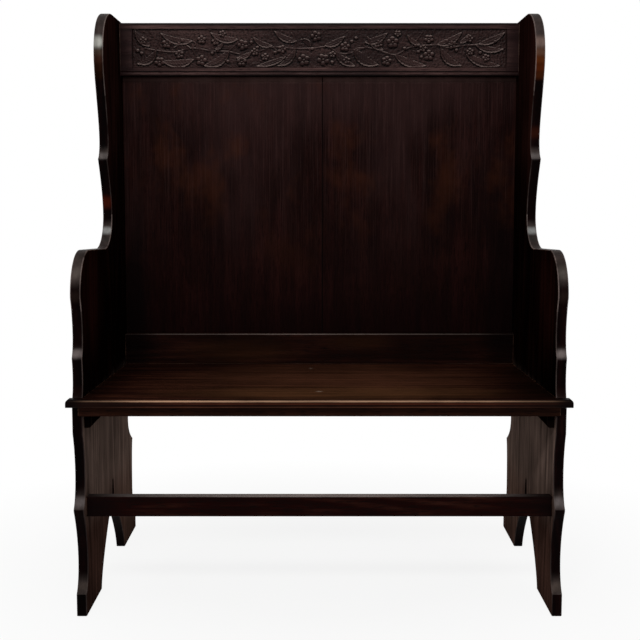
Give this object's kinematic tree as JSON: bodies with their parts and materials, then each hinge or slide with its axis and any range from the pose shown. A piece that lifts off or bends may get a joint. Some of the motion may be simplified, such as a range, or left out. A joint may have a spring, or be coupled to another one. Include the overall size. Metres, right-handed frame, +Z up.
{
  "type": "settle bench",
  "caption": "High-backed settle with shaped end boards, a plank seat, a stretcher and a crest rail with a sunk frieze panel.",
  "frame": {"origin": "on the floor, under the middle of the settle's bounding box", "axes": "+X to the right in a front view, -Y towards the front, +Z up"},
  "size_m": [0.995, 0.521, 1.253],
  "materials": {
    "stained_oak": "dark stained and waxed oak",
    "seat_oak": "dark stained oak worn to a warm brown",
    "inside_oak": "unpolished oak",
    "iron": "dull darkened iron"
  },
  "bodies": {
    "root": {"end_board_left": "stained_oak", "end_board_right": "stained_oak", "seat_board": "seat_oak", "seat_apron": "stained_oak", "seat_bearer_left": "inside_oak", "seat_bearer_right": "inside_oak", "rear_seat_rail": "inside_oak", "front_stretcher": "stained_oak", "crest_rail": "stained_oak", "lower_back_rail": "stained_oak", "back_board_left": "stained_oak", "back_board_right": "stained_oak", "glue_block_1": "inside_oak", "glue_block_2": "inside_oak", "glue_block_3": "inside_oak", "bearer_screw_left_1": "iron", "bearer_screw_left_2": "iron", "bearer_screw_left_3": "iron", "bearer_screw_right_1": "iron", "bearer_screw_right_2": "iron", "bearer_screw_right_3": "iron", "seat_screw_left_1": "iron", "seat_screw_left_2": "iron", "seat_screw_right_1": "iron", "seat_screw_right_2": "iron", "back_nail_crest_left_1": "iron", "back_nail_crest_left_2": "iron", "back_nail_crest_left_3": "iron", "back_nail_lower_left_1": "iron", "back_nail_lower_left_2": "iron", "back_nail_lower_left_3": "iron", "back_nail_seat_left_1": "iron", "back_nail_seat_left_2": "iron", "back_nail_seat_left_3": "iron", "back_nail_crest_right_1": "iron", "back_nail_crest_right_2": "iron", "back_nail_crest_right_3": "iron", "back_nail_lower_right_1": "iron", "back_nail_lower_right_2": "iron", "back_nail_lower_right_3": "iron", "back_nail_seat_right_1": "iron", "back_nail_seat_right_2": "iron", "back_nail_seat_right_3": "iron"}
  },
  "joints": []
}
